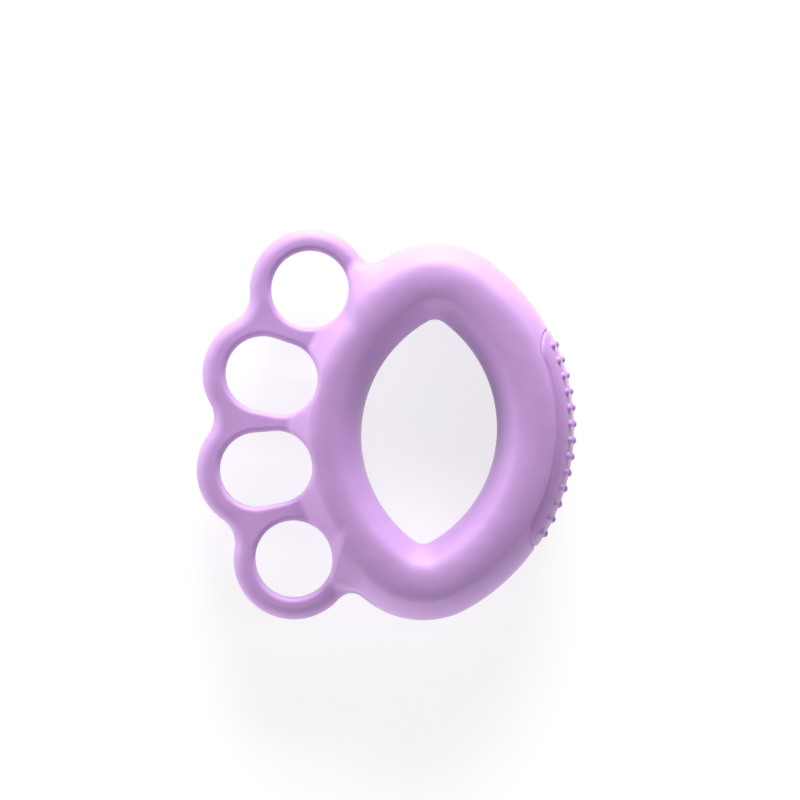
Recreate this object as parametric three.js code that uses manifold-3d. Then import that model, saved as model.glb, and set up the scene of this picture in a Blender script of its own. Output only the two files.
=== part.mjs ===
// A moulded silicone hand-grip ring with four finger loops and a studded palm pad.
// Millimetres, +Z up. The ring lies flat on its back face. Z is the axis of its hole, +X runs from
// the finger loops to the palm pad, and +Y points to the index finger's side.
//
// The rubber is one moulding. It is divided here where it bends or stretches in use: the palm side
// of the ring is squeezed towards the finger side, and the outside of each finger loop stretches.
import * as THREE from 'three';
import { mergeVertices } from 'three/addons/utils/BufferGeometryUtils.js';
import { ParametricGeometry } from 'three/addons/geometries/ParametricGeometry.js';
import Module from 'manifold-3d';

const wasm = await Module();
wasm.setup();

// ---- driving dimensions ----

const gap = 0.3;                // clearance between neighbouring solids
const beyond = 40;              // cutting tools reach this far past what they cut

// The ring: one oval section carried round a pointed oval spine.
const ringHeight = 24;          // from the back face to the front face
const ringWall = 18.3;          // from the hole to the outside, all the way round
const sectionHeight = 25.2;     // the oval section before both faces are flattened
const spineHalfWidth = 12.9;    // the pointed oval that the hole and the outside are offset from
const spineHalfLength = 23.8;
const holeTipRadius = 3.9;      // rounding at the two pointed ends of the hole
const splitX = 13;              // the ring is divided at this distance either side of its middle

// The finger loops: their centres lie on an arc, evenly spaced.
const fingerArcRadius = 52.5;
const fingerArcCentreX = 9.8;
const fingerPitch = THREE.MathUtils.degToRad(25.9);
const loopOuterRadius = 14.65;
const roundHoleRadius = 9.45;   // the index and little fingers' holes
const longHoleRadius = 9.1;     // the two middle holes,
const longHoleReach = 4.8;      // which are drawn out this far towards the ring,
const longHoleEndRadius = 8.8;  // to a rounder end that lies nearer to the middle of the hand
const longHoleEndShift = 1;
const loopHeight = 10;
const edgeRound = 1.6;          // rounding of the loops' edges, outside and in the holes
const valleyRadius = 6.8;       // hollow curve between neighbouring loops
const rootRadius = 2.5;         // hollow curve where the outer loops run into the ring
const fingerRim = 2;            // the loops' own rubber left round each hole where it meets the ring

// The palm pad, let into the outside of the ring's palm side.
const padHalfLength = 28;
const padHalfHeight = 10;
const padCornerRadius = 5.5;
const padDepth = 2;
const nubRadius = 0.95;
const nubPitch = 4;
const nubRows = 4;
const nubsPerRow = 13;

// ---- sizes worked out from those ----

const spineArcRadius = (spineHalfWidth ** 2 + spineHalfLength ** 2) / (2 * spineHalfWidth);
const spineArcOffset = spineArcRadius - spineHalfWidth;       // each side's arc centre lies across the middle
const tipHalfAngleCosine = spineArcOffset / spineArcRadius;   // where a side arc hands over to a tip
const midWall = holeTipRadius + ringWall / 2;                 // from the spine to the middle of the wall
const outerWall = holeTipRadius + ringWall;                   // from the spine to the outside
const palmArcRadius = spineArcRadius + midWall;               // middle of the wall, palm side

// ---- solids from three.js geometry ----

function toSolid(geometry) {
  const bare = geometry.clone();
  bare.deleteAttribute('normal');
  bare.deleteAttribute('uv');
  const merged = mergeVertices(bare);
  return new wasm.Manifold(new wasm.Mesh({
    numProp: 3,
    vertProperties: merged.attributes.position.array,
    triVerts: merged.index.array,
  }));
}

function toMesh(name, solid, material) {
  const { vertProperties, triVerts } = solid.getMesh();
  const geometry = new THREE.BufferGeometry();
  geometry.setAttribute('position', new THREE.BufferAttribute(vertProperties, 3));
  geometry.setIndex(new THREE.BufferAttribute(triVerts, 1));
  geometry.computeVertexNormals();
  const mesh = new THREE.Mesh(geometry, material);
  mesh.name = name;
  return mesh;
}

function box(low, high) {
  const size = high.clone().sub(low);
  const middle = low.clone().add(high).multiplyScalar(0.5);
  const geometry = new THREE.BoxGeometry(size.x, size.y, size.z);
  geometry.translate(middle.x, middle.y, middle.z);
  return toSolid(geometry);
}

// The points of an outline, each of them once: where one arc meets the next, their shared point
// comes twice.
function outlinePoints(outline, curveSegments) {
  const points = outline.getPoints(curveSegments);
  const apart = 0.001;
  return points.filter((point, place) => (
    point.distanceTo(points[(place + 1) % points.length]) > apart
  ));
}

// A flat outline made into a solid that is centred on the mid-plane, z = 0.
function plate(outline, height, bevel = { bevelEnabled: false }) {
  const shape = new THREE.Shape(outlinePoints(outline, 6));
  const geometry = new THREE.ExtrudeGeometry(shape, { depth: height, ...bevel });
  geometry.translate(0, 0, -height / 2);
  return toSolid(geometry);
}

// ---- the ring ----

// The spine is a convex curve, so the direction that it faces names a point on it. The wall's
// surfaces are offset from that point along the same direction.
function spinePoint(facing) {
  const across = Math.cos(facing);
  const along = Math.sin(facing);
  if (Math.abs(across) < tipHalfAngleCosine) {
    return new THREE.Vector2(0, Math.sign(along) * spineHalfLength);
  }
  return new THREE.Vector2(
    spineArcRadius * across - Math.sign(across) * spineArcOffset,
    spineArcRadius * along,
  );
}

// The wall's section at an angle round it: how far outwards of the wall's middle, and how high.
function wallSection(angle, grow = 0) {
  const face = ringHeight / 2 + grow;
  return {
    out: (ringWall / 2 + grow) * Math.cos(angle),
    up: THREE.MathUtils.clamp((sectionHeight / 2 + grow) * Math.sin(angle), -face, face),
  };
}

function ringSolid(grow = 0) {
  const stepsRound = 72;
  const stepsAcross = 24;
  const geometry = new ParametricGeometry((u, v, target) => {
    const facing = u * 2 * Math.PI;
    const section = wallSection(v * 2 * Math.PI, grow);
    const point = spinePoint(facing);
    const offset = midWall + section.out;
    target.set(
      point.x + offset * Math.cos(facing),
      point.y + offset * Math.sin(facing),
      section.up,
    );
  }, stepsRound, stepsAcross);
  return toSolid(geometry);
}

// ---- the finger loops ----

// Each hole is the outline round two circles: one at the loop's centre, and one at its inner end,
// which in a round hole is the same circle.
const fingers = ['index', 'middle', 'ring', 'little'].map((name, place) => {
  const outward = Math.PI + (place - 1.5) * fingerPitch;      // away from the middle of the arc
  const x = fingerArcCentreX + fingerArcRadius * Math.cos(outward);
  const y = fingerArcRadius * Math.sin(outward);
  const isLong = name === 'middle' || name === 'ring';
  return {
    name,
    outward,
    x,
    y,
    endX: isLong ? x + longHoleReach : x,
    endY: isLong ? y - Math.sign(y) * longHoleEndShift : y,
    holeRadius: isLong ? longHoleRadius : roundHoleRadius,
    endRadius: isLong ? longHoleEndRadius : roundHoleRadius,
  };
});

// Half the angle of a loop's free outside, between the hollow curves on its two sides.
const halfChord = fingerArcRadius * Math.sin(fingerPitch / 2);
const freeHalfAngle = (Math.PI + fingerPitch) / 2 - Math.acos(halfChord / (loopOuterRadius + valleyRadius));

// The outline of a finger hole, round or drawn out towards the ring, with a margin round it.
function holeOutline(finger, margin) {
  const reach = Math.hypot(finger.endX - finger.x, finger.endY - finger.y);
  const towards = Math.atan2(finger.endY - finger.y, finger.endX - finger.x);
  const touch = reach > 0 ? Math.acos((finger.holeRadius - finger.endRadius) / reach) : Math.PI / 2;
  const outline = new THREE.Path();
  outline.absarc(
    finger.x, finger.y, finger.holeRadius + margin,
    towards + touch, towards + 2 * Math.PI - touch, false,
  );
  outline.absarc(
    finger.endX, finger.endY, finger.endRadius + margin,
    towards - touch, towards + touch, false,
  );
  outline.closePath();
  return outline;
}

// The centre of the hollow curve between a loop of the index or little finger and the ring's tip.
function rootCentre(finger) {
  const side = Math.sign(finger.y);
  const toLoop = loopOuterRadius + rootRadius;
  const toTip = outerWall + rootRadius;
  const tip = new THREE.Vector2(0, side * spineHalfLength);
  const loop = new THREE.Vector2(finger.x, finger.y);
  const apart = loop.distanceTo(tip);
  const along = (toLoop ** 2 - toTip ** 2 + apart ** 2) / (2 * apart);
  const aside = side * Math.sqrt(toLoop ** 2 - along ** 2);
  const direction = tip.clone().sub(loop).normalize();
  return new THREE.Vector2(
    loop.x + along * direction.x - aside * direction.y,
    loop.y + along * direction.y + aside * direction.x,
  );
}

// All four loops and the webs between them as one rounded plate. Its inner edge runs inside the
// ring's wall.
function loopPlate() {
  const insideX = -22;
  const outline = new THREE.Path();
  const first = fingers[0];
  const last = fingers[fingers.length - 1];
  const upperRoot = rootCentre(first);
  const lowerRoot = rootCentre(last);
  const directionTo = (from, to) => Math.atan2(to.y - from.y, to.x - from.x);
  const upperTip = new THREE.Vector2(0, spineHalfLength);
  const lowerTip = new THREE.Vector2(0, -spineHalfLength);

  outline.absarc(
    upperRoot.x, upperRoot.y, rootRadius,
    directionTo(upperRoot, upperTip), directionTo(upperRoot, first), true,
  );
  for (const finger of fingers) {
    const start = finger === first ? directionTo(first, upperRoot) : finger.outward - freeHalfAngle;
    const end = finger === last ? directionTo(last, lowerRoot) : finger.outward + freeHalfAngle;
    outline.absarc(finger.x, finger.y, loopOuterRadius, start, end, false);
    if (finger !== last) {
      const towards = finger.outward + freeHalfAngle;
      const reach = loopOuterRadius + valleyRadius;
      outline.absarc(
        finger.x + reach * Math.cos(towards), finger.y + reach * Math.sin(towards), valleyRadius,
        towards + Math.PI, finger.outward + fingerPitch - freeHalfAngle + Math.PI, true,
      );
    }
  }
  outline.absarc(
    lowerRoot.x, lowerRoot.y, rootRadius,
    directionTo(lowerRoot, last), directionTo(lowerRoot, lowerTip), true,
  );
  const lowerInside = lowerRoot.clone().sub(lowerTip).setLength(midWall).add(lowerTip);
  const upperInside = upperRoot.clone().sub(upperTip).setLength(midWall).add(upperTip);
  outline.lineTo(lowerInside.x, lowerInside.y);
  outline.lineTo(insideX, 0);
  outline.lineTo(upperInside.x, upperInside.y);
  outline.closePath();

  const solid = plate(outline, loopHeight - 2 * edgeRound, {
    bevelEnabled: true,
    bevelThickness: edgeRound,
    bevelSize: edgeRound,
    bevelOffset: -edgeRound,
    bevelSegments: 2,
  });
  return fingers.reduce((rest, finger) => rest.subtract(fingerColumn(finger, 0)), solid);
}

// An upright column through a finger hole, with a margin round it.
function fingerColumn(finger, margin) {
  return plate(holeOutline(finger, margin), 2 * beyond);
}

// The wedge, as seen from the hole's centre, that holds a loop's free outside.
function loopWedge(finger, grow = 0) {
  const tipX = finger.x - grow / Math.sin(freeHalfAngle) * Math.cos(finger.outward);
  const tipY = finger.y - grow / Math.sin(freeHalfAngle) * Math.sin(finger.outward);
  const outline = new THREE.Path();
  outline.moveTo(tipX, tipY);
  for (const side of [-1, 1]) {
    const edge = finger.outward + side * freeHalfAngle;
    outline.lineTo(tipX + beyond * Math.cos(edge), tipY + beyond * Math.sin(edge));
  }
  outline.closePath();
  return plate(outline, 2 * beyond);
}

// ---- the palm pad ----

// A rounded block, seen along X, that holds the pad's outline.
function padBlock(grow) {
  const halfLength = padHalfLength + grow;
  const halfHeight = padHalfHeight + grow;
  const corner = padCornerRadius + grow;
  const quarter = Math.PI / 2;
  const outline = new THREE.Path();
  for (const [place, sideY, sideZ] of [[0, 1, 1], [1, -1, 1], [2, -1, -1], [3, 1, -1]]) {
    outline.absarc(
      sideY * (halfLength - corner), sideZ * (halfHeight - corner), corner,
      place * quarter, (place + 1) * quarter, false,
    );
  }
  outline.closePath();
  const shape = new THREE.Shape(outlinePoints(outline, 3));
  const geometry = new THREE.ExtrudeGeometry(shape, { depth: beyond, bevelEnabled: false });
  geometry.applyMatrix4(new THREE.Matrix4().makeBasis(
    new THREE.Vector3(0, 1, 0), new THREE.Vector3(0, 0, 1), new THREE.Vector3(1, 0, 0),
  ));
  return toSolid(geometry);
}

// The layer between two offsets of the wall's section, turned about the palm side's arc centre.
// Negative offsets lie below the wall's surface.
function wallLayer(inner, outer) {
  const steps = 10;
  const reach = THREE.MathUtils.degToRad(65);
  const curve = (offset) => Array.from({ length: steps + 1 }, (_, step) => {
    const angle = reach * (2 * step / steps - 1);
    return new THREE.Vector2(
      palmArcRadius + (ringWall / 2 + offset) * Math.cos(angle),
      (sectionHeight / 2 + offset) * Math.sin(angle),
    );
  });
  const profile = [...curve(outer), ...curve(inner).reverse()];
  profile.push(profile[0].clone());
  const geometry = new THREE.LatheGeometry(profile, 72);
  geometry.rotateX(Math.PI / 2);
  geometry.translate(-spineArcOffset, 0, 0);
  return toSolid(geometry);
}

// How far the pad's surface lies from the palm side's arc centre, at a height.
function padRadius(height) {
  return palmArcRadius + ringWall / 2 * Math.cos(Math.asin(height / (sectionHeight / 2)));
}

// One rounded nub on the pad's surface, at a distance along the pad and a height.
function nub(along, height) {
  const turn = along / padRadius(0);
  const geometry = new THREE.SphereGeometry(nubRadius, 6, 4);
  geometry.translate(
    padRadius(height) * Math.cos(turn) - spineArcOffset,
    padRadius(height) * Math.sin(turn),
    height,
  );
  return toSolid(geometry);
}

function padSolid() {
  let solid = wallLayer(-padDepth, 0).intersect(padBlock(0));
  for (let row = 0; row < nubRows; row += 1) {
    for (let place = 0; place < nubsPerRow; place += 1) {
      const along = (place - (nubsPerRow - 1) / 2) * nubPitch;
      const height = (row - (nubRows - 1) / 2) * nubPitch;
      solid = solid.add(nub(along, height));
    }
  }
  return solid;
}

// ---- the pieces ----

function silicone(colour) {
  return new THREE.MeshStandardMaterial({ color: colour, roughness: 0.6, metalness: 0 });
}

const lilac = silicone(0xb993c8);
const loopLilac = silicone(0xc7a2d6);
const padLilac = silicone(0xa270ad);

function ringPieces() {
  let ring = ringSolid().subtract(wallLayer(-padDepth - gap, beyond / 4).intersect(padBlock(gap)));
  for (const finger of fingers) {
    ring = ring.subtract(fingerColumn(finger, fingerRim));
  }
  const cut = splitX + gap / 2;
  const inner = splitX - gap / 2;
  const far = 2 * beyond;
  const part = (lowX, highX, lowY, highY) => ring.intersect(box(
    new THREE.Vector3(lowX, lowY, -far),
    new THREE.Vector3(highX, highY, far),
  ));
  return [
    toMesh('finger_side_arc', part(-far, -cut, -far, far), lilac),
    toMesh('upper_flex_arc', part(-inner, inner, 0, far), lilac),
    toMesh('lower_flex_arc', part(-inner, inner, -far, 0), lilac),
    toMesh('palm_side_arc', part(cut, far, -far, far), lilac),
  ];
}

function loopPieces() {
  const whole = loopPlate();
  let ringTool = ringSolid(gap);
  let bridge = whole;
  for (const finger of fingers) {
    ringTool = ringTool.subtract(fingerColumn(finger, fingerRim - gap));
    bridge = bridge.subtract(loopWedge(finger, gap));
  }
  const loops = fingers.map((finger) => toMesh(
    `${finger.name}_finger_loop`, whole.intersect(loopWedge(finger)), loopLilac,
  ));
  return [toMesh('finger_bridge', bridge.subtract(ringTool), loopLilac), ...loops];
}

// ---- the assembly, with the middle of its underside at the origin ----

const leftEnd = Math.min(...fingers.map((finger) => finger.x)) - loopOuterRadius;
const rightEnd = padRadius(nubPitch / 2) + nubRadius - spineArcOffset;

const group = new THREE.Group();
group.position.set(-(leftEnd + rightEnd) / 2, 0, ringHeight / 2);
group.add(...ringPieces(), ...loopPieces(), toMesh('palm_pad', padSolid(), padLilac));

export default group;
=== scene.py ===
import math

import bmesh
import bpy
import numpy as np
from mathutils import Matrix, Vector


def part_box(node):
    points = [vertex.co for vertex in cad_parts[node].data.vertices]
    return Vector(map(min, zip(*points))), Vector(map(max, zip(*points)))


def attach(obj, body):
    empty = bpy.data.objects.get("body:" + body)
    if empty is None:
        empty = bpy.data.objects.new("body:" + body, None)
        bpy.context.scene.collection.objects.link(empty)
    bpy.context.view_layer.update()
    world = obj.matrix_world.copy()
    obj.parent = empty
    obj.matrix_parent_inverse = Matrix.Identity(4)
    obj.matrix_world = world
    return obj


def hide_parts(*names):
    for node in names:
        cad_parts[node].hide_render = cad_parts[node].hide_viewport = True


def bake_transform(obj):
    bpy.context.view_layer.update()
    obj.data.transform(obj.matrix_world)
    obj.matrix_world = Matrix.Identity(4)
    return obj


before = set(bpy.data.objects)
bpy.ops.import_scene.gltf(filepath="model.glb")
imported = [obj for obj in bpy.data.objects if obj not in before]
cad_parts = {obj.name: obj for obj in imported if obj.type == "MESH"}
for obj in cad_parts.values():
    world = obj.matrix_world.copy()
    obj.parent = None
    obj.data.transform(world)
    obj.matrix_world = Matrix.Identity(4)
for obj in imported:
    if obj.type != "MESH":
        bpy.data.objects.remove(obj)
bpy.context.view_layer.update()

# A moulded silicone hand-grip ring: four finger loops, a soft oval ring and a studded palm rest.
#
# The rubber is written as one solid: a function that gives how far any point lies outside it.
# Its surface is found on a grid, drawn onto the function's zero, and then cut flat into the
# pieces that move. Lengths are in metres. Points are measured from the middle of the ring, on its
# mid-plane, with the same axes as the frame: +X to the palm, +Y to the index finger, +Z to the front.

MM = 0.001

# ---- driving dimensions, as in the CAD ----

RING_WALL = 18.6 * MM              # 0.3 mm more than the CAD's, on the hole's side
SECTION_HEIGHT = 24.4 * MM         # the oval section before both faces are flattened a little
SPINE_HALF_WIDTH = 12.9 * MM       # the pointed oval that the hole and the outside are offset from
SPINE_HALF_LENGTH = 23.8 * MM
HOLE_TIP_RADIUS = 3.6 * MM

FINGER_ARC_RADIUS = 52.5 * MM
FINGER_ARC_CENTRE_X = 9.8 * MM
FINGER_PITCH = math.radians(25.9)
LOOP_RADIUS = 14.65 * MM
ROUND_HOLE_RADIUS = 9.45 * MM      # the index and little fingers' holes
LONG_HOLE_RADIUS = 9.1 * MM        # the two middle holes,
LONG_HOLE_REACH = 4.8 * MM         # which are drawn out this far towards the ring
LONG_HOLE_END_RADIUS = 8.8 * MM
LONG_HOLE_END_SHIFT = 1 * MM
LOOP_HEIGHT = 10 * MM
VALLEY_RADIUS = 6.8 * MM

PAD_HALF_LENGTH = 28 * MM
PAD_HALF_HEIGHT = 10 * MM
PAD_CORNER_RADIUS = 5.5 * MM
NUB_RADIUS = 0.95 * MM
NUB_PITCH = 4 * MM
NUB_ROWS = 4
NUBS_PER_ROW = 13

# ---- the soft roundings that the CAD leaves out ----

FACE_ROUND = 1.5 * MM              # where the oval section turns into its flat faces
LOOP_EDGE_ROUND = 3.2 * MM         # outside edges of the loops
HOLE_EDGE_ROUND = 1.3 * MM         # edges of the finger holes
ROOT_ROUND = 4.5 * MM              # where the loops' outline runs into the ring's,
SLOPE_ROUND = 7 * MM               # and where their faces run up the ring's side,
SLOPE_START = 4 * MM               # which takes over between these heights off the mid-plane
SLOPE_FULL = 7 * MM
SHOULDER_RADIUS = 42.5 * MM        # the ring is cut back round the finger arc's centre,
SHOULDER_ROUND = 6.5 * MM          # rounded there,
SHOULDER_CLEAR = 19.5 * MM         # and left whole past the outer fingers: the cut moves out
SHOULDER_FADE = math.radians(20)   # this far over this angle
GROOVE_RADIUS = 0.4 * MM           # the fine groove round the palm rest's studs
GROOVE_LIP = 0.15 * MM
PAD_RELIEF = 0.2 * MM              # the studded face rises this far above the ring's surface,
PAD_RISE = 1.6 * MM                # over this distance inside its border
NUB_FOOT = 0.25 * MM               # fillet round the foot of each nub
FAN_START = 2 * MM                 # the loops' rubber starts this far inside the ring's mid-wall

# ---- where the solid is cut, and how finely it is made ----

PALM_CUT_X = 25.4 * MM             # the palm rest begins here
LOOP_CUT = 8.9 * MM                # each loop's outside is cut this far to both sides of its middle
BODY_PITCH = 0.45 * MM
PALM_PITCH = 0.2 * MM
MARGIN = 2 * MM                    # room round each grid
EVENING_ROUNDS = 6                 # how often the points are spread evenly over the surface,
PULLS = 2                          # with this many steps onto it each time
SLOPE_STEP = 0.02 * MM             # over which a distance's slope is measured
LEAST_STEEPNESS = 0.1              # a slope's square counts as at least this in a step
SNAP_DISTANCE = 0.0001 * MM        # points this close to a cut lie on it
NEARLY_NOTHING = 1e-9              # stands in for zero below a division

# ---- sizes worked out from those and from the frame ----

SPINE_ARC_RADIUS = (SPINE_HALF_WIDTH ** 2 + SPINE_HALF_LENGTH ** 2) / (2 * SPINE_HALF_WIDTH)
SPINE_ARC_OFFSET = SPINE_ARC_RADIUS - SPINE_HALF_WIDTH
MID_WALL = HOLE_TIP_RADIUS + RING_WALL / 2
PALM_ARC_RADIUS = SPINE_ARC_RADIUS + MID_WALL
FAN_HALF_ANGLE = 1.5 * FINGER_PITCH
FINGERS = ["index", "middle", "ring", "little"]

flex_low, flex_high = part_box("upper_flex_arc")
RING_HEIGHT = flex_high.z - flex_low.z
RING_CENTRE = Vector(((flex_low.x + flex_high.x) / 2, 0, (flex_low.z + flex_high.z) / 2))


# ---- joining distances ----

def round_max(a, b, radius):
    """What lies inside both solids, with the edge between them rounded."""
    corner = np.hypot(np.maximum(radius + a, 0), np.maximum(radius + b, 0))
    return np.minimum(-radius, np.maximum(a, b)) + corner


def round_min(a, b, radius):
    """What lies inside either solid, with a hollow curve where they meet."""
    return -round_max(-a, -b, radius)


def smooth_step(value, start, end):
    """Rises smoothly from 0 at start to 1 at end."""
    share = np.clip((value - start) / (end - start), 0, 1)
    return share * share * (3 - 2 * share)


# ---- the solid ----

def spine_distance(x, y):
    """Distance outside the pointed oval that the ring is drawn round."""
    x, y = np.abs(x), np.abs(y)
    from_side = np.hypot(x + SPINE_ARC_OFFSET, y) - SPINE_ARC_RADIUS
    from_tip = np.hypot(x, y - SPINE_HALF_LENGTH)
    past_tip = (y - SPINE_HALF_LENGTH) * SPINE_ARC_OFFSET > x * SPINE_HALF_LENGTH
    return np.where(past_tip, from_tip, from_side)


def oval_distance(across, up, half_width, half_height):
    """Distance outside an ellipse, close to its edge."""
    size = np.hypot(across / half_width, up / half_height)
    slope = np.hypot(across / half_width ** 2, up / half_height ** 2)
    return size * (size - 1) / np.maximum(slope, NEARLY_NOTHING)


def ring_distance(x, y, z):
    """The plain ring: its oval section, with both faces flattened."""
    across = spine_distance(x, y) - MID_WALL
    oval = oval_distance(across, z, RING_WALL / 2, SECTION_HEIGHT / 2)
    return round_max(oval, np.abs(z) - RING_HEIGHT / 2, FACE_ROUND)


def finger_place(name):
    """A finger loop's centre, and the direction that it faces."""
    outward = math.pi + (FINGERS.index(name) - 1.5) * FINGER_PITCH
    x = FINGER_ARC_CENTRE_X + FINGER_ARC_RADIUS * math.cos(outward)
    y = FINGER_ARC_RADIUS * math.sin(outward)
    return x, y, outward


def finger_fan(x, y):
    """How far a point lies from the finger arc's centre, and how far round from its middle."""
    reach = np.hypot(x - FINGER_ARC_CENTRE_X, y)
    return reach, np.arctan2(np.abs(y), FINGER_ARC_CENTRE_X - x)


def hole_distance(name, x, y):
    """Distance outside a finger hole, which is round or drawn out towards the ring."""
    centre_x, centre_y, _ = finger_place(name)
    if name in ("index", "little"):
        return np.hypot(x - centre_x, y - centre_y) - ROUND_HOLE_RADIUS
    reach_x, reach_y = LONG_HOLE_REACH, -math.copysign(LONG_HOLE_END_SHIFT, centre_y)
    reach = math.hypot(reach_x, reach_y)
    along = ((x - centre_x) * reach_x + (y - centre_y) * reach_y) / reach
    aside = np.abs((y - centre_y) * reach_x - (x - centre_x) * reach_y) / reach
    lean = (LONG_HOLE_RADIUS - LONG_HOLE_END_RADIUS) / reach
    upright = math.sqrt(1 - lean * lean)
    flank = aside * upright + along * lean - LONG_HOLE_RADIUS
    place = along * upright - aside * lean
    at_start = np.hypot(along, aside) - LONG_HOLE_RADIUS
    at_end = np.hypot(along - reach, aside) - LONG_HOLE_END_RADIUS
    return np.where(place < 0, at_start, np.where(place > reach * upright, at_end, flank))


def loops_outline(x, y):
    """Distance outside the loops' outline: a fan that starts inside the ring's wall, and the four
    loops, with hollow curves between neighbours."""
    places = [finger_place(name) for name in FINGERS]
    reach, turn = finger_fan(x, y)
    fan = np.maximum(reach - FINGER_ARC_RADIUS, (turn - FAN_HALF_ANGLE) * reach)
    distance = np.maximum(fan, MID_WALL - FAN_START - spine_distance(x, y))
    for centre_x, centre_y, _ in places:
        distance = np.minimum(distance, np.hypot(x - centre_x, y - centre_y) - LOOP_RADIUS)
    half_chord = FINGER_ARC_RADIUS * math.sin(FINGER_PITCH / 2)
    height = math.sqrt((LOOP_RADIUS + VALLEY_RADIUS) ** 2 - half_chord ** 2)
    valley_arc = FINGER_ARC_RADIUS * math.cos(FINGER_PITCH / 2) + height
    for _, _, outward in places[:-1]:
        facing = outward + FINGER_PITCH / 2
        valley_x = FINGER_ARC_CENTRE_X + valley_arc * math.cos(facing)
        valley_y = valley_arc * math.sin(facing)
        inward = (valley_x - x) * math.cos(facing) + (valley_y - y) * math.sin(facing)
        aside = np.abs((y - valley_y) * math.cos(facing) - (x - valley_x) * math.sin(facing))
        between = (aside * height < inward * half_chord) & (inward < height)
        distance = np.where(between, VALLEY_RADIUS - np.hypot(x - valley_x, y - valley_y), distance)
    return distance


def body_distance(points):
    """The whole grip without its studs: the ring and the loops run into one another."""
    x, y, z = points.T
    reach, turn = finger_fan(x, y)
    past_fingers = smooth_step(turn, FAN_HALF_ANGLE, FAN_HALF_ANGLE + SHOULDER_FADE)
    shoulder = reach - SHOULDER_RADIUS - SHOULDER_CLEAR * past_fingers
    ring = round_max(ring_distance(x, y, z), shoulder, SHOULDER_ROUND)
    loops = round_max(loops_outline(x, y), np.abs(z) - LOOP_HEIGHT / 2, LOOP_EDGE_ROUND)
    on_face = smooth_step(np.abs(z), SLOPE_START, SLOPE_FULL)
    solid = round_min(ring, loops, ROOT_ROUND + (SLOPE_ROUND - ROOT_ROUND) * on_face)
    for name in FINGERS:
        solid = round_max(solid, -hole_distance(name, x, y), HOLE_EDGE_ROUND)
    return solid


def pad_radius(height):
    """How far the palm rest's surface lies from the palm side's arc centre, at a height."""
    rise = np.clip(height / (SECTION_HEIGHT / 2), -1, 1)
    return PALM_ARC_RADIUS + RING_WALL / 2 * np.sqrt(1 - rise * rise)


def along_palm(x, y):
    """How far round the palm side a point lies, measured on its outside."""
    return np.arctan2(y, x + SPINE_ARC_OFFSET) * pad_radius(0)


def outside_pad(along, z):
    """Distance outside the studded face's outline, a rectangle with rounded corners."""
    corner_x = np.abs(along) - (PAD_HALF_LENGTH - PAD_CORNER_RADIUS)
    corner_z = np.abs(z) - (PAD_HALF_HEIGHT - PAD_CORNER_RADIUS)
    outside = np.hypot(np.maximum(corner_x, 0), np.maximum(corner_z, 0))
    return outside + np.minimum(np.maximum(corner_x, corner_z), 0) - PAD_CORNER_RADIUS


def palm_distance(points):
    """The grip with the palm rest's groove, raised face and nubs."""
    x, y, z = points.T
    solid = body_distance(points)
    along = along_palm(x, y)
    border = outside_pad(along, z)
    groove = np.hypot(border, solid) - GROOVE_RADIUS
    raised = solid - PAD_RELIEF * smooth_step(-border, 0, PAD_RISE)
    studded = round_max(raised, -groove, GROOVE_LIP)

    last_row, last_place = (NUB_ROWS - 1) / 2, NUBS_PER_ROW // 2
    row = np.clip(np.round(z / NUB_PITCH + 0.5) - 0.5, -last_row, last_row)
    place = np.clip(np.round(along / NUB_PITCH), -last_place, last_place)
    nub_turn = place * NUB_PITCH / pad_radius(0)
    nub_radius = pad_radius(row * NUB_PITCH)
    nub = np.sqrt(
        (x + SPINE_ARC_OFFSET - nub_radius * np.cos(nub_turn)) ** 2
        + (y - nub_radius * np.sin(nub_turn)) ** 2
        + (z - row * NUB_PITCH) ** 2
    ) - NUB_RADIUS
    return round_min(studded, nub, NUB_FOOT)


# ---- from the solid to a mesh ----

def gradient(distance, points):
    """How steeply the distance rises along X, Y and Z at each point."""
    shifts = SLOPE_STEP * np.eye(3)
    rises = [distance(points + shift) - distance(points - shift) for shift in shifts]
    return np.stack(rises, axis=1) / (2 * SLOPE_STEP)


def onto_surface(distance, points):
    """The points moved straight onto the solid's surface."""
    for _ in range(PULLS):
        slope = gradient(distance, points)
        steepness = np.maximum((slope * slope).sum(axis=1), LEAST_STEEPNESS)
        points = points - slope * (distance(points) / steepness)[:, None]
    return points


def evened(points, quads):
    """Each point moved to the middle of the faces round it."""
    middles = points[quads].mean(axis=1)
    faces_round = np.bincount(quads.ravel(), minlength=len(points))
    spread = np.repeat(middles, 4, axis=0)
    sums = [np.bincount(quads.ravel(), spread[:, axis], len(points)) for axis in range(3)]
    return np.stack(sums, axis=1) / faces_round[:, None]


def fill_crossings(inside):
    """Fills the grid squares whose opposite corners are alike and whose neighbours differ, because
    the surface would cross itself there."""
    for axis in range(3):
        layers = np.moveaxis(inside, axis, 0)
        corners = [layers[:, :-1, :-1], layers[:, 1:, :-1], layers[:, 1:, 1:], layers[:, :-1, 1:]]
        opposite_alike = (corners[0] == corners[2]) & (corners[1] == corners[3])
        crossing = opposite_alike & (corners[0] != corners[1])
        for corner in corners:
            corner |= crossing


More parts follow.
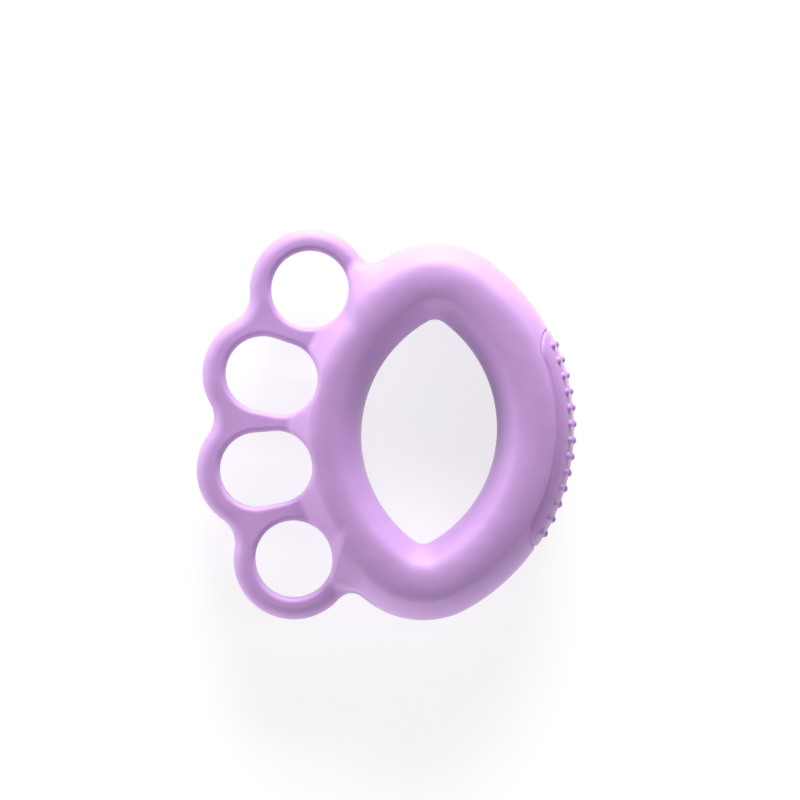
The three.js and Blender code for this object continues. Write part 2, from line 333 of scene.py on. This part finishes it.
def surface_net(distance, low, high, pitch):
    """The solid's surface between two corners, as points and quads: one point in each cell of a
    grid that the surface passes through, and one quad round each grid edge that it crosses."""
    axes = [np.arange(low[axis], high[axis] + pitch, pitch) for axis in range(3)]
    shape = tuple(len(axis) for axis in axes)
    grid = np.stack(np.meshgrid(*axes, indexing="ij"), axis=-1).reshape(-1, 3)
    inside = distance(grid).reshape(shape) < 0
    fill_crossings(inside)

    cells = tuple(count - 1 for count in shape)
    corners = sum(
        inside[i:i + cells[0], j:j + cells[1], k:k + cells[2]].astype(np.int8)
        for i in (0, 1) for j in (0, 1) for k in (0, 1)
    )
    crossed = (corners > 0) & (corners < 8)
    number = np.full(cells, -1)
    number[crossed] = np.arange(crossed.sum())
    points = np.asarray(low) + (np.argwhere(crossed) + 0.5) * pitch

    quads = []
    for axis in range(3):
        after = np.roll(inside, -1, axis)
        edges = np.argwhere(inside != after)
        edges = edges[(edges > 0).all(axis=1) & (edges < np.array(cells)).all(axis=1)]
        side, other = np.eye(3, dtype=int)[[(axis + 1) % 3, (axis + 2) % 3]]
        around = [edges - side - other, edges - other, edges, edges - side]
        quad = np.stack([number[tuple(cell.T)] for cell in around], axis=1)
        faces_back = ~inside[tuple(edges.T)]
        quad[faces_back] = quad[faces_back][:, ::-1]
        quads.append(quad)
    used, quads = np.unique(np.concatenate(quads), return_inverse=True)
    points, quads = points[used], quads.reshape(-1, 4)

    points = onto_surface(distance, points)
    for _ in range(EVENING_ROUNDS):
        points = onto_surface(distance, evened(points, quads))
    return points, quads


# ---- cutting the mesh into pieces ----

def cut_across(bm, faces, point, normal):
    """Splits faces where a plane crosses them."""
    edges = dict.fromkeys(edge for face in faces for edge in face.edges)
    verts = dict.fromkeys(vert for face in faces for vert in face.verts)
    bmesh.ops.bisect_plane(
        bm, geom=[*verts, *edges, *faces], dist=SNAP_DISTANCE,
        plane_co=Vector(point), plane_no=Vector(normal),
    )


def take_out(bm, faces):
    """A new mesh that holds copies of these faces, which are deleted from bm."""
    part = bmesh.new()
    copies = {}
    for face in faces:
        for vert in face.verts:
            if vert not in copies:
                copies[vert] = part.verts.new(vert.co)
        part.faces.new([copies[vert] for vert in face.verts])
    bmesh.ops.delete(bm, geom=faces, context="FACES")
    return part


def close_cuts(bm):
    """Closes the open edges that the cuts left with flat faces, which come after the others."""
    open_edges = [edge for edge in bm.edges if edge.is_boundary]
    caps = bmesh.ops.holes_fill(bm, edges=open_edges, sides=0)["faces"]
    bmesh.ops.triangulate(bm, faces=caps)
    bm.faces.index_update()
    bm.normal_update()


def vertex_places(mesh):
    places = np.empty(len(mesh.vertices) * 3)
    mesh.vertices.foreach_get("co", places)
    return places.reshape(-1, 3)


def shading_normals(mesh, distance, skin_faces):
    """A normal for each face corner: the solid's own on the skin, and the face's on a closed cut."""
    normals = gradient(distance, vertex_places(mesh))
    normals /= np.linalg.norm(normals, axis=1)[:, None]
    corners = np.empty(len(mesh.loops), dtype=np.int32)
    mesh.loops.foreach_get("vertex_index", corners)
    corner_normals = normals[corners]
    for face in mesh.polygons[skin_faces:]:
        corner_normals[face.loop_start:face.loop_start + face.loop_total] = face.normal
    return corner_normals


def make_piece(name, bm, distance):
    """A silicone object from a cut skin, in its place in the frame."""
    skin_faces = len(bm.faces)
    close_cuts(bm)
    mesh = bpy.data.meshes.new(name)
    bm.to_mesh(mesh)
    bm.free()
    normals = shading_normals(mesh, distance, skin_faces)
    mesh.polygons.foreach_set("use_smooth", [True] * len(mesh.polygons))
    mesh.transform(Matrix.Translation(RING_CENTRE))
    mesh.normals_split_custom_set(normals.tolist())

    piece = bpy.data.objects.new(name, mesh)
    bpy.context.scene.collection.objects.link(piece)
    mesh.materials.append(silicone)
    return piece


def mesh_of(points, quads):
    """The same surface as an editable mesh."""
    mesh = bpy.data.meshes.new("skin")
    mesh.from_pydata(points.tolist(), [], quads.tolist())
    bm = bmesh.new()
    bm.from_mesh(mesh)
    bpy.data.meshes.remove(mesh)
    return bm


def keep_side(bm, x, sign):
    """Cuts the mesh across X, and keeps the side that lies towards sign."""
    cut_across(bm, bm.faces[:], (x, 0, 0), (1, 0, 0))
    lost = [face for face in bm.faces if (face.calc_center_median().x - x) * sign < 0]
    bmesh.ops.delete(bm, geom=lost, context="FACES")


def loop_halves(bm, name):
    """Takes a finger loop's outside out of the mesh, as one half on each side of its middle."""
    centre_x, centre_y, outward = finger_place(name)
    out = Vector((math.cos(outward), math.sin(outward), 0))
    aside = Vector((-out.y, out.x, 0))
    centre = Vector((centre_x, centre_y, 0))

    def near(face, half_width):
        reach = face.calc_center_median() - centre
        in_reach = reach.dot(out) > 0 and reach.xy.length < LOOP_RADIUS + MM
        return in_reach and abs(reach.dot(aside)) < half_width

    for shift in (-LOOP_CUT, 0, LOOP_CUT):
        faces = [face for face in bm.faces if near(face, LOOP_CUT + 2 * BODY_PITCH)]
        cut_across(bm, faces, centre + aside * shift, aside)
    taken = [face for face in bm.faces if near(face, LOOP_CUT)]
    halves = {-1: [], 1: []}
    for face in taken:
        side = (face.calc_center_median() - centre).dot(aside)
        halves[1 if side > 0 else -1].append(face)
    for sign, faces in halves.items():
        side_name = "lower" if sign > 0 else "upper"
        piece = make_piece(f"{name}_loop_{side_name}", take_out(bm, faces), body_distance)
        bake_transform(piece)
        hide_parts(f"{name}_finger_loop")


# ---- material ----

LILAC = (0.45, 0.25, 0.55, 1)
DEEP_LILAC = (0.425, 0.23, 0.525, 1)
# painted shade: the studded face and its groove take this deeper lilac for the shade they lie in
PAD_SHADE_LILAC = (0.39, 0.195, 0.485, 1)
SPECK = (0.24, 0.13, 0.28, 1)

CLOUD_SIZE = 16 * MM               # slow changes of colour and height
BLOTCH_SIZE = 3 * MM
GRAIN_SIZE = 0.35 * MM
CLOUD_DEPTH = 0.5 * MM
GRAIN_DEPTH = 0.012 * MM
DUST_SPACING = 7 * MM
SEAM_HEIGHT = 0.06 * MM            # the moulding line round the mid-plane,
SEAM_CREST = 0.05 * MM             # flat this far to both sides of it
SEAM_FOOT = 0.25 * MM              # and gone this far

PAINTED_SHADE_ATTRIBUTE = "studded"                # the mesh attribute that marks the studded face and its groove, where shade is painted
MIX_FIRST, MIX_SECOND, MIX_RESULT = 6, 7, 2    # a Mix node's sockets for colours


class Nodes:
    """Adds nodes to a material, each with its inputs given by name."""

    def __init__(self, name):
        self.material = bpy.data.materials.new(name)
        self.material.use_nodes = True
        self.tree = self.material.node_tree
        self.shader = self.tree.nodes["Principled BSDF"]

    def add(self, kind, inputs, **settings):
        node = self.tree.nodes.new(kind)
        for key, value in settings.items():
            setattr(node, key, value)
        self.fill(node, inputs)
        return node

    def fill(self, node, inputs):
        for key, value in inputs.items():
            if isinstance(value, bpy.types.NodeSocket):
                self.tree.links.new(value, node.inputs[key])
            else:
                node.inputs[key].default_value = value

    def noise(self, where, feature_size, detail):
        inputs = {"Vector": where, "Scale": 1 / feature_size, "Detail": detail}
        return self.add("ShaderNodeTexNoise", inputs).outputs["Fac"]

    def maths(self, operation, *values):
        inputs = dict(enumerate(values))
        return self.add("ShaderNodeMath", inputs, operation=operation).outputs[0]

    def ramp(self, value, start, end, low, high):
        inputs = {"Value": value, "From Min": start, "From Max": end, "To Min": low, "To Max": high}
        return self.add("ShaderNodeMapRange", inputs).outputs["Result"]

    def mix(self, share, first, second):
        inputs = {"Factor": share, MIX_FIRST: first, MIX_SECOND: second}
        return self.add("ShaderNodeMix", inputs, data_type="RGBA").outputs[MIX_RESULT]

    def bump(self, height, depth, under=None):
        inputs = {"Height": height, "Distance": depth}
        if under is not None:
            inputs["Normal"] = under
        return self.add("ShaderNodeBump", inputs).outputs["Normal"]


def dust(nodes, where):
    """A few small dots: some cells of a Voronoi pattern have one at their centre."""
    cells = nodes.add("ShaderNodeTexVoronoi", {"Vector": where, "Scale": 1 / DUST_SPACING})
    near_centre = nodes.ramp(cells.outputs["Distance"], start=0.015, end=0.03, low=1, high=0)
    chosen = nodes.ramp(cells.outputs["Color"], start=0.8, end=0.82, low=0, high=1)
    return nodes.maths("MULTIPLY", near_centre, chosen)


def moulding_line(nodes, where):
    height = nodes.add("ShaderNodeSeparateXYZ", {"Vector": where}).outputs["Z"]
    off_middle = nodes.maths("ABSOLUTE", nodes.maths("SUBTRACT", height, RING_CENTRE.z))
    return nodes.ramp(off_middle, start=SEAM_CREST, end=SEAM_FOOT, low=1, high=0)


def silicone_material():
    """Matt lilac silicone: cloudy colour, a fine grain, a moulding line, a few specks of dust, and
    painted shade on the studded face and its groove.
    """
    nodes = Nodes("silicone")
    where = nodes.add("ShaderNodeTexCoord", {}).outputs["Object"]
    clouds = nodes.noise(where, CLOUD_SIZE, detail=3)
    blotches = nodes.noise(where, BLOTCH_SIZE, detail=4)
    grain = nodes.noise(where, GRAIN_SIZE, detail=2)
    speck = dust(nodes, where)
    seam = moulding_line(nodes, where)

    cloudy = nodes.ramp(clouds, start=0.35, end=0.65, low=0, high=1)
    tint = nodes.mix(cloudy, LILAC, DEEP_LILAC)
    tint = nodes.mix(nodes.ramp(blotches, start=0.3, end=0.7, low=0, high=0.5), tint, LILAC)
    # painted shade: a deeper lilac over the studded face and its groove, read from the mesh attribute
    studded = nodes.add("ShaderNodeAttribute", {}, attribute_name=PAINTED_SHADE_ATTRIBUTE).outputs["Fac"]
    tint = nodes.mix(studded, tint, PAD_SHADE_LILAC)
    normal = nodes.bump(clouds, CLOUD_DEPTH)
    normal = nodes.bump(grain, GRAIN_DEPTH, normal)
    normal = nodes.bump(seam, SEAM_HEIGHT, normal)
    nodes.fill(nodes.shader, {
        "Base Color": nodes.mix(speck, tint, SPECK),
        "Roughness": nodes.ramp(blotches, start=0.3, end=0.7, low=0.58, high=0.7),
        "Specular IOR Level": 0.8,
        "Sheen Weight": 0.35,
        "Sheen Roughness": 0.4,
        "Normal": normal,
    })
    return nodes.material


def mark_painted_pad_shade(mesh):
    """Marks the groove and what it encloses, where a deeper lilac is painted as shade."""
    x, y, z = (vertex_places(mesh) - np.array(RING_CENTRE)).T
    inside = GROOVE_RADIUS - outside_pad(along_palm(x, y), z)
    mark = smooth_step(inside, 0, GROOVE_RADIUS)
    mesh.attributes.new(PAINTED_SHADE_ATTRIBUTE, "FLOAT", "POINT").data.foreach_set("value", mark)


# ---- the pieces ----

silicone = silicone_material()

RING_REACH = HOLE_TIP_RADIUS + RING_WALL       # from the spine to the ring's outside
left_end = finger_place("middle")[0] - LOOP_RADIUS - MARGIN
right_end = SPINE_HALF_WIDTH + RING_REACH + MARGIN
half_breadth = max(SPINE_HALF_LENGTH + RING_REACH, finger_place("index")[1] + LOOP_RADIUS)
half_height = RING_HEIGHT / 2 + MARGIN

body_low = (left_end, -half_breadth - MARGIN, -half_height)
body_high = (PALM_CUT_X + MARGIN, half_breadth + MARGIN, half_height)
body_mesh = mesh_of(*surface_net(body_distance, body_low, body_high, BODY_PITCH))
keep_side(body_mesh, PALM_CUT_X, -1)
for finger in FINGERS:
    loop_halves(body_mesh, finger)
grip_body = make_piece("grip_body", body_mesh, body_distance)
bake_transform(grip_body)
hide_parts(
    "finger_side_arc", "upper_flex_arc", "lower_flex_arc", "palm_side_arc", "finger_bridge",
)

palm_low = (PALM_CUT_X - MARGIN, -half_breadth, -half_height)
palm_high = (right_end, half_breadth, half_height)
palm_mesh = mesh_of(*surface_net(palm_distance, palm_low, palm_high, PALM_PITCH))
keep_side(palm_mesh, PALM_CUT_X, 1)
palm_rest = make_piece("palm_rest", palm_mesh, palm_distance)
# the studded face and its groove are marked for painted shade
mark_painted_pad_shade(palm_rest.data)
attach(palm_rest, "palm_side")
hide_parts("palm_pad")


# ---- floor, light and camera ----

FLOOR_HALF_SIZE = 3
FLOOR_GREY = 0.35
FLOOR_GLOW = 0.72                  # the pale floor is lit from within, as a light table is

SENSOR_WIDTH = 36                  # the only two sizes that aren't in metres but in millimetres
LENS = 221.5
CAMERA_X = 2.5 * MM
CAMERA_Y = 7.3 * MM
CAMERA_DISTANCE = 1.2
CAMERA_ROLL = math.radians(3.4)
NEAR_LIMIT = 0.01
FAR_LIMIT = 10


def floor():
    size = FLOOR_HALF_SIZE
    corners = [(-size, -size, 0), (size, -size, 0), (size, size, 0), (-size, size, 0)]
    mesh = bpy.data.meshes.new("floor")
    mesh.from_pydata(corners, [], [(0, 1, 2, 3)])
    nodes = Nodes("floor")
    nodes.fill(nodes.shader, {
        "Base Color": (FLOOR_GREY, FLOOR_GREY, FLOOR_GREY, 1),
        "Roughness": 0.9,
        "Specular IOR Level": 0.2,
        "Emission Color": (1, 1, 1, 1),
        "Emission Strength": FLOOR_GLOW,
    })
    mesh.materials.append(nodes.material)
    piece = bpy.data.objects.new("floor", mesh)
    bpy.context.scene.collection.objects.link(piece)


def camera():
    """Looks straight down at the front."""
    data = bpy.data.cameras.new("camera")
    data.sensor_width = SENSOR_WIDTH
    data.lens = LENS
    data.clip_start = NEAR_LIMIT
    data.clip_end = FAR_LIMIT
    piece = bpy.data.objects.new("camera", data)
    bpy.context.scene.collection.objects.link(piece)
    piece.location = (CAMERA_X, CAMERA_Y, RING_CENTRE.z + CAMERA_DISTANCE)
    piece.rotation_euler = (0, 0, CAMERA_ROLL)
    bpy.context.scene.camera = piece


def area_light(name, direction, distance, width, height, power):
    """A soft light that faces the ring's middle from a direction: metres and watts."""
    light = bpy.data.lights.new(name, "AREA")
    light.shape = "RECTANGLE"
    light.size = width
    light.size_y = height
    light.energy = power
    lamp = bpy.data.objects.new(name, light)
    bpy.context.scene.collection.objects.link(lamp)
    outward = Vector(direction).normalized()
    lamp.location = RING_CENTRE + outward * distance
    lamp.rotation_mode = "QUATERNION"
    lamp.rotation_quaternion = outward.to_track_quat("Z", "Y")


def soft_box(name, direction, power):
    """One of the large lights that fill in round the object."""
    area_light(name, direction, distance=1.2, width=0.7, height=0.7, power=power)


floor()
camera()
area_light("key", (0, 1, 0.3), distance=0.7, width=0.5, height=0.38, power=11.8)
soft_box("right_key", (1, 1, 0.5), power=1)
soft_box("right_fill", (1, 0, 1.2), power=2)
soft_box("top", (0, 0, 1), power=1.5)
area_light("left_strip", (-1, 0, 0.12), distance=0.5, width=0.5, height=0.08, power=2)
soft_box("low_fill", (0, -1, 0.6), power=2.5)
area_light("low_strip", (0, -1, 0.15), distance=1.2, width=1.2, height=0.25, power=8)
bpy.context.scene.view_settings.view_transform = "Standard"
